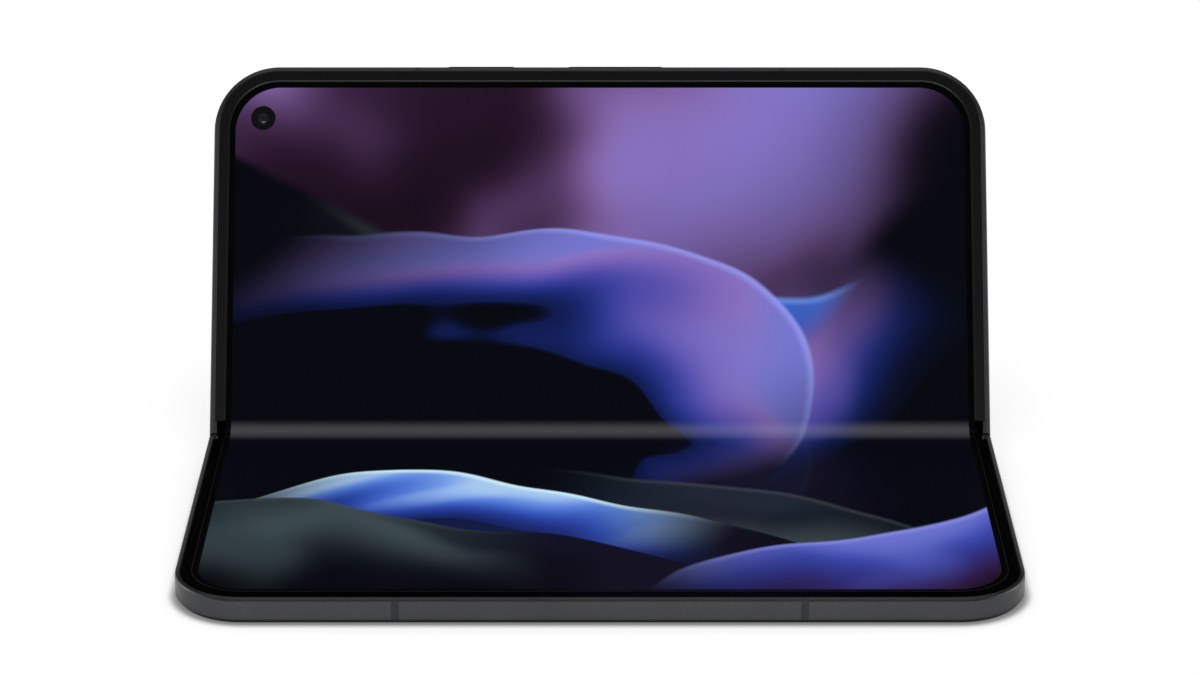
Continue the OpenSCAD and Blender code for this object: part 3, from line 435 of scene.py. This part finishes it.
def veil_picture(shader, across, along):
    """Overlapping soft veils: each has a crest line rise + bow*s^2 + wave*sin(5s + phase) in axes
    turned by its own angle, and fades through its colours with the distance below the crest. Its
    glossy folds are a sine of the distance along a line slanted to the crest."""
    vector = shader.node("ShaderNodeCombineXYZ")
    shader.link(across, vector.inputs[0])
    shader.link(along, vector.inputs[1])
    drift = shader.noise(vector.outputs[0], DRIFT_SCALE, 0.0)
    silk = shader.noise(vector.outputs[0], SILK_SCALE, 1.0)

    def wandering(distance, noise, amount):
        """A distance in halves of the screen's length, moved by a noise about its middle."""
        centred = shader.calc("MULTIPLY_ADD", distance, 1 / PICTURE_HALF_MM, -amount / 2)
        return shader.calc("MULTIPLY_ADD", noise, amount, centred)

    p, q = wandering(across, drift, DRIFT), wandering(along, silk, SILK)
    streak = shader.calc("MULTIPLY_ADD", p, STREAK_ACROSS, shader.calc("MULTIPLY", q, STREAK_ALONG))
    streak = shader.calc("SINE", shader.calc("MULTIPLY_ADD", silk, STREAK_SILK, streak))
    glow = shader.calc("MULTIPLY_ADD", q, GLOW_RISE, GLOW_BASE)
    glow = shader.calc("MULTIPLY_ADD", streak, GLOW_STREAK, glow)
    color = shader.ramp(glow, BACKDROP_STOPS, "B_SPLINE")
    for turn, rise, bow, wave, phase, depth, soft, fade, folds, rim, colors in VEILS:
        cos, sin = math.cos(math.radians(turn)), math.sin(math.radians(turn))
        s = shader.calc("MULTIPLY_ADD", p, cos, shader.calc("MULTIPLY", q, sin))
        t = shader.calc("MULTIPLY_ADD", p, -sin, shader.calc("MULTIPLY", q, cos))
        ripple = shader.calc("SINE", shader.calc("MULTIPLY_ADD", s, RIPPLES, phase))
        crest = shader.calc("MULTIPLY_ADD", shader.calc("MULTIPLY", s, s), bow, rise)
        crest = shader.calc("MULTIPLY_ADD", ripple, wave, crest)
        below = shader.calc("SUBTRACT", crest, t)
        share = shader.calc("MULTIPLY_ADD", silk, SHARE_SILK, shader.calc("DIVIDE", below, depth))
        share = shader.calc("SUBTRACT", share, SHARE_SILK / 2)

        count, slant, gloss = folds
        run = shader.calc("MULTIPLY_ADD", below, slant, s)
        run = shader.calc("MULTIPLY_ADD", silk, FOLD_SILK, run)
        fold = shader.calc("SINE", shader.calc("MULTIPLY_ADD", run, count, phase))
        share = shader.calc("MULTIPLY_ADD", fold, -FOLD_DEPTH * gloss, share)
        veil = shader.ramp(share, list(zip(VEIL_STOPS, colors)), "B_SPLINE")
        sheen = shader.step(fold, *SHEEN_BAND, 0.0, SHEEN * gloss)
        near = shader.step(share, *NEAR_BAND)
        veil = shader.mix(shader.calc("MULTIPLY", sheen, near), veil, (*colors[0], 1))
        if rim:
            line = shader.step(below, LINE_WIDTH, 0.0, 0.0, rim)
            light = [min(1, LINE_LIFT + LINE_GAIN * c) for c in colors[0]]
            veil = shader.mix(line, veil, (*light, 1))

        middle, reach = (fade[0] + fade[1]) / 2, (fade[1] - fade[0]) / 2
        away = shader.calc("ABSOLUTE", shader.calc("SUBTRACT", s, middle))
        dim = shader.step(away, reach * DIM_FROM, reach * DIM_TO)
        veil = shader.mix(dim, veil, (*NIGHT, 1))
        color = shader.mix(shader.step(below, -soft, soft), color, veil)
    return color


def screen_material(name, turn=(0, 0, 0), shift_mm=(0, 0, 0), source="Object"):
    """The folding screen: glossy, lit inside a rounded rectangle, black outside it, with a painted
    sheen along the crease: a pale band in its base colour in place of a reflection in the bend.
    The mapping takes the piece's own place to millimetres along and across the fold."""
    shader = Shader(name, Roughness=0.12, Specular_IOR_Level=0.03, Emission_Strength=1.0)
    mapping = shader.node("ShaderNodeMapping")
    shader.link(shader.coordinate(source), mapping.inputs["Vector"])
    mapping.inputs["Scale"].default_value = (1 / MM, 1 / MM, 1 / MM)
    mapping.inputs["Rotation"].default_value = turn
    mapping.inputs["Location"].default_value = shift_mm
    across, along, _ = shader.split(mapping.outputs[0])

    edge = shader.rounded_edge(across, along, HALF_LENGTH / MM - LIT_MARGIN_MM,
                               HALF_WIDTH / MM - LIT_MARGIN_MM, LIT_CORNER_MM)
    lit = shader.step(edge, -LIT_BLUR_MM, LIT_BLUR_MM, 1.0, 0.0)
    shader.shine("Emission Color", shader.mix(lit, BLACK, veil_picture(shader, across, along)))
    # Painted sheen: the base colour turns pale along the crease, in place of a reflection in the
    # bend.
    rise = shader.step(along, -BEND_U / MM, PAINTED_SHEEN_FULL_MM[0])
    fall = shader.step(along, BEND_U / MM, PAINTED_SHEEN_FULL_MM[1])
    painted_sheen = shader.calc("POWER", shader.calc("MULTIPLY", rise, fall), PAINTED_SHEEN_POWER)
    painted_sheen = shader.calc("MULTIPLY", painted_sheen, lit)
    shader.shine("Base Color", shader.mix(painted_sheen, (*SCREEN_BLACK, 1), (*CREASE_PAINTED_SHEEN, 1)))
    return shader.material


def give(material, *names):
    """The material on every slot of the named CAD nodes."""
    for name in names:
        mesh = NODES[name].data
        mesh.materials.clear()
        mesh.materials.append(material)


def fit(piece, material):
    """The piece's one material."""
    piece.data.materials.append(material)
    return piece


def bend_point(share, side, depth):
    """Point (u, w) of the bent screen, from the flat part (share 0) to the middle of the spine (1).
    An arc of a circle, tangent to the half; depth is measured down from the screen surface."""
    angle = HALF_FOLD * (1 - share)
    reach = BEND_R + depth
    return side * reach * np.sin(angle), BEND_MIDDLE_W - reach * np.cos(angle)


def bent_screen(name, side):
    """Half of the bend: a slab whose section is an arc of BEND_R, swept along the fold and closed
    at both ends."""
    share = np.linspace(0, 1, BEND_STEPS + 1)
    top_u, top_w = bend_point(share, side, 0.0)
    low_u, low_w = bend_point(share[::-1], side, SCREEN_THICK)
    loop_u = np.concatenate([top_u, low_u])
    loop_w = np.concatenate([top_w, low_w])
    x = np.linspace(-STRIP_HALF_X, STRIP_HALF_X, BEND_COLUMNS)
    grid = on_spine(x[None, :], loop_u[:, None], loop_w[:, None])
    core = (loop_u + loop_u[::-1]) / 2, (loop_w + loop_w[::-1]) / 2
    ends = [on_spine(end, *core)[:, None] for end in (x[0], x[-1])]
    grid = np.concatenate([ends[0], grid, ends[1]], 1)
    x = np.concatenate([x[:1], x, x[-1:]])
    along = side * BEND_U * (1 - np.concatenate([share, share[::-1]]))
    uv = np.stack(np.broadcast_arrays(x[None, :], along[:, None]), -1)
    piece = fit(mesh_piece(name, grid, closed_u=True, uv=uv), BEND_FINISH)
    start = on_spine(0, *bend_point(0.0, side, 0.0))
    end = on_spine(0, *bend_point(1.0, side, 0.0))
    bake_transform(piece)
    return piece


def turned_piece(name, profile, place, material, steps=64):
    """A solid of revolution on the leaning half: the profile's points (radius, w) turned about
    the line through place = (x, u) along w."""
    radius, height = np.array(profile).T
    angle = np.linspace(0, 2 * math.pi, steps, endpoint=False)
    across, along = radius[:, None] * np.cos(angle), radius[:, None] * np.sin(angle)
    grid = on_lid(place[0] + across, place[1] + along, height[:, None])
    share = np.broadcast_to(radius[:, None] / radius.max(), grid.shape[:2])
    piece = mesh_piece(name, grid, closed_v=True, uv=np.stack([share, share], -1))
    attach(fit(piece, material), "lid")


def dome_profile(radius, foot, height, rows=12):
    """Half section of a flat-footed dome: an arc of an ellipse from its top to its foot."""
    turn = np.linspace(0, math.pi / 2, rows)
    arc = np.stack([radius * np.sin(turn), foot + height * np.cos(turn)], 1)
    return [*arc.tolist(), [0.0, foot]]


def ring_profile(inner, outer, foot, top, rows=16):
    """Section of a ring with rounded edges: an ellipse, closed on itself."""
    turn = np.linspace(0, 2 * math.pi, rows + 1)
    middle, half = (inner + outer) / 2, (outer - inner) / 2
    return np.stack([middle + half * np.cos(turn),
                     (foot + top) / 2 + (top - foot) / 2 * np.sin(turn)], 1).tolist()


def rim_edge(name, place, body):
    """Rounded inner edge of the soft rim: a circle swept along the two straight sides, the
    corners' arcs and the outer side, with pointed ends at the fold."""
    arc = np.linspace(0, math.pi / 2, RIM_ARC_POINTS)
    corner_x, corner_u = HALF_LENGTH - OUTER_CORNER, HALF_WIDTH - OUTER_CORNER
    reach = OUTER_CORNER - RIM_INSET
    left = np.stack([-corner_x - reach * np.cos(arc), corner_u + reach * np.sin(arc),
                     -np.cos(arc), np.sin(arc)], 1)
    right = left[::-1] * [-1, 1, -1, 1]
    first = np.array([[-corner_x - reach, RIM_START, -1, 0]])
    last = first * [-1, 1, -1, 1]
    path = np.concatenate([first, first, left, right, last, last])
    radius = np.full(len(path), RIM_BEAD_R)
    radius[[0, -1]] = 0
    turn = np.linspace(0, 2 * math.pi, RIM_SIDES, endpoint=False)
    out = radius[:, None] * np.cos(turn)
    grid = place(path[:, :1] + out * path[:, 2:3], path[:, 1:2] + out * path[:, 3:4],
                 -RIM_BEAD_R + radius[:, None] * np.sin(turn))
    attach(fit(mesh_piece(name, grid, closed_v=True), RIM_EDGE), body)


lid_shift = AXIS_OFF - (LID_AXIS[1] * math.cos(LID_ANGLE) + LID_AXIS[2] * math.sin(LID_ANGLE))
BASE_FINISH = screen_material("base screen", shift_mm=(0, -FOLD_Y / MM, 0))
LID_FINISH = screen_material("lid screen", (-LID_ANGLE, 0, 0), (0, lid_shift / MM, 0))
BEND_FINISH = screen_material("bent screen", source="UV")

FRAME_METAL = bead_blasted("graphite frame", GRAPHITE)
RIM_RUBBER = moulded("soft rim", SOFT_BLACK, 0.3, gloss=0.5)
FLAT_RUBBER = moulded("flat soft rim", SOFT_BLACK, 0.3, gloss=0.01)
RIM_EDGE = moulded("soft rim edge", (0.006, 0.006, 0.006), 0.35, gloss=0.25)
BREAK_PLASTIC = moulded("antenna plastic", (0.036, 0.038, 0.041), 0.5, gloss=0.2)
FRONT_GLASS = dark_glass("cover glass", (0.006, 0.006, 0.007), 0.05)
BACK_GLASS = dark_glass("satin back glass", (0.03, 0.031, 0.033), 0.32)
LENS_GLASS = dark_glass("lens cover", (0.004, 0.004, 0.005), 0.03)
LENS_DOME = lens_glass("lens dome")
LENS_RING = bead_blasted("lens ring", (0.4, 0.4, 0.41), 0.3)
BLACK_PART = moulded("black part", (0.01, 0.01, 0.01), 0.4)
STEEL = brushed("steel", (0.5, 0.51, 0.52))
BRASS = brushed("brass", (0.62, 0.45, 0.2))
COPPER = brushed("copper", (0.6, 0.28, 0.15))
FOIL = moulded("battery foil", (0.05, 0.05, 0.055), 0.4, 900.0)
BOARD = moulded("board", (0.01, 0.05, 0.035), 0.35, 1500.0)
LAMP = moulded("lamp", (0.75, 0.66, 0.4), 0.3)

give(FRAME_METAL, "base_frame", "lid_frame", "camera_block", "power_key", "volume_key",
     "card_tray", "spine_cover")
give(RIM_RUBBER, "lid_rim")
give(FLAT_RUBBER, "base_rim", "spine_end_caps")
give(BREAK_PLASTIC, "base_antenna_breaks", "lid_antenna_breaks")
give(FRONT_GLASS, "cover_glass")
give(BACK_GLASS, "back_glass")
give(LENS_GLASS, "inner_camera", "cover_camera", "cover_screen", "camera_window")
give(BLACK_PART, "ear_speaker", "lid_speaker", "main_camera", "wide_camera", "zoom_camera")
give(STEEL, "base_screen_plate", "lid_screen_plate", "card_reader", "vibration_motor",
     "base_hinge_arms", "lid_hinge_arms", "base_hinge_screws", "lid_hinge_screws",
     "hinge_brackets", "shield_cans", "usb_socket", "base_magnets", "lid_magnets")
give(BRASS, "base_pinions", "lid_pinions", "key_switches")
give(COPPER, "charging_coil")
give(FOIL, "base_battery", "lid_battery")
give(BOARD, "base_board", "main_board")
give(LAMP, "flash_lamp")
give(BASE_FINISH, "base_screen")
give(LID_FINISH, "lid_screen")

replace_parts(bent_screen("base_screen_bend", -1), "fold_screen")
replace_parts(bent_screen("lid_screen_bend", 1), "fold_screen")
rim_edge("base_rim_edge", on_base, "base")
rim_edge("lid_rim_edge", on_lid, "lid")

eye_at = lid_middle("inner_camera")[:2]
eye_foot = -SCREEN_DROP - EYE_SINK
turned_piece("inner_camera_eye", dome_profile(EYE_R, eye_foot, EYE_RISE), eye_at,
             LENS_DOME)
turned_piece("inner_camera_ring",
             ring_profile(EYE_R, EYE_RING_R, eye_foot, eye_foot + EYE_RING_RISE), eye_at,
             RIM_EDGE)

# The rear lenses stand on the window's outer face and rise away from the screen, towards -w.
window_w = lid_middle("camera_window")[2] - WINDOW_HALF_THICK
for node in ("main_camera", "wide_camera", "zoom_camera"):
    low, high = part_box(node)
    radius = (high.x - low.x) / 2
    at = lid_middle(node)[:2]
    turned_piece(node + "_lens", dome_profile(radius - LENS_INSET, window_w, -LENS_RISE), at,
                 LENS_DOME)
    turned_piece(node + "_trim",
                 ring_profile(radius - TRIM_WIDTH, radius, window_w - TRIM_RISE,
                              window_w + TRIM_SINK), at, LENS_RING)


def camera():
    """The photograph's viewpoint: a long lens that looks down at the fold."""
    data = bpy.data.cameras.new("camera")
    data.sensor_width = SENSOR_WIDTH
    data.lens = FOCAL_PX / FRAME_PX * SENSOR_WIDTH
    data.clip_start, data.clip_end = 0.05, 20.0
    piece = bpy.data.objects.new("camera", data)
    piece.location = (0, FOLD_Y - CAMERA_BACK, CAMERA_UP)
    piece.rotation_euler = (math.radians(90 - CAMERA_TILT_DEG), 0, 0)
    bpy.context.scene.collection.objects.link(piece)
    bpy.context.scene.camera = piece


def soft_light(name, place, aim, width, height, power):
    """A rectangular lamp that faces the point aimed at."""
    data = bpy.data.lights.new(name, "AREA")
    data.shape, data.size, data.size_y, data.energy = "RECTANGLE", width, height, power
    lamp = bpy.data.objects.new(name, data)
    lamp.location = place
    direction = Vector(np.subtract(aim, place))
    lamp.rotation_euler = direction.to_track_quat("-Z", "Y").to_euler()
    bpy.context.scene.collection.objects.link(lamp)


def surround():
    """Plain white to the camera, white low down and dark above to mirrors, and a dim even fill
    to everything else."""
    world = bpy.data.worlds.new("studio")
    bpy.context.scene.world = world
    world.use_nodes = True
    nodes = Nodes(world.node_tree)
    path = nodes.node("ShaderNodeLightPath").outputs
    x, y, z = nodes.split(nodes.coordinate("Generated"))
    above = nodes.step(z, *CEILING_BAND, 1.0, CEILING)
    in_front = nodes.step(y, *FRONT_BAND, 0.0, FRONT_CARD)
    beside = nodes.calc("MULTIPLY",
                        nodes.step(nodes.calc("ABSOLUTE", x), *SIDE_BAND, 0.0, SIDE_CARD),
                        nodes.step(z, *SIDE_TOP_BAND, 0.0, 1.0))
    mirrored = nodes.calc("MAXIMUM", nodes.calc("MAXIMUM", above, in_front), beside)
    mirrored = nodes.calc("MULTIPLY", path["Is Glossy Ray"], mirrored)
    seen = nodes.calc("MAXIMUM", path["Is Camera Ray"], path["Is Transmission Ray"])
    plain = nodes.calc("SUBTRACT", 1.0, nodes.calc("MAXIMUM", seen, path["Is Glossy Ray"]))
    strength = nodes.calc("ADD", nodes.calc("MAXIMUM", seen, mirrored),
                          nodes.calc("MULTIPLY", plain, WORLD_FILL))
    background = nodes.tree.nodes["Background"]
    nodes.link(strength, background.inputs["Strength"])
    background.inputs["Color"].default_value = WHITE


def table():
    """White table that glows to the camera and, more weakly, to mirrors. A narrow band round the
    flat half is darker, where the phone keeps the light off it."""
    size = TABLE_HALF
    corners = np.array([[[-size, -size, 0], [size, -size, 0]], [[-size, size, 0], [size, size, 0]]])
    floor = mesh_piece("table", corners, solid=False)
    shader = Shader("table", Roughness=0.9, Specular_IOR_Level=0.0, Emission_Color=WHITE)
    path = shader.node("ShaderNodeLightPath").outputs
    x, y, _ = shader.split(shader.coordinate("Object"))
    across = shader.calc("MULTIPLY", x, 1 / MM)
    along = shader.calc("MULTIPLY_ADD", y, 1 / MM, (HALF_WIDTH / 2 - FOLD_Y) / MM)
    edge = shader.rounded_edge(across, along, HALF_LENGTH / MM, HALF_WIDTH / 2 / MM,
                               OUTER_CORNER / MM)
    contact = shader.step(edge, *CONTACT_BAND_MM, CONTACT_SHADE, 1.0)
    tone = shader.mix(contact, BLACK, (TABLE_GRAY, TABLE_GRAY, TABLE_GRAY, 1))
    shader.shine("Base Color", tone)
    shown = shader.calc("MAXIMUM", path["Is Camera Ray"],
                        shader.calc("MULTIPLY", path["Is Glossy Ray"], TABLE_MIRROR))
    glow = shader.calc("MULTIPLY", shader.calc("MULTIPLY", shown, contact), TABLE_GLOW)
    shader.shine("Emission Strength", glow)
    floor.data.materials.append(shader.material)


camera()
surround()
table()
for lamp in LAMPS:
    soft_light(*lamp)
bpy.context.scene.view_settings.view_transform = "Standard"
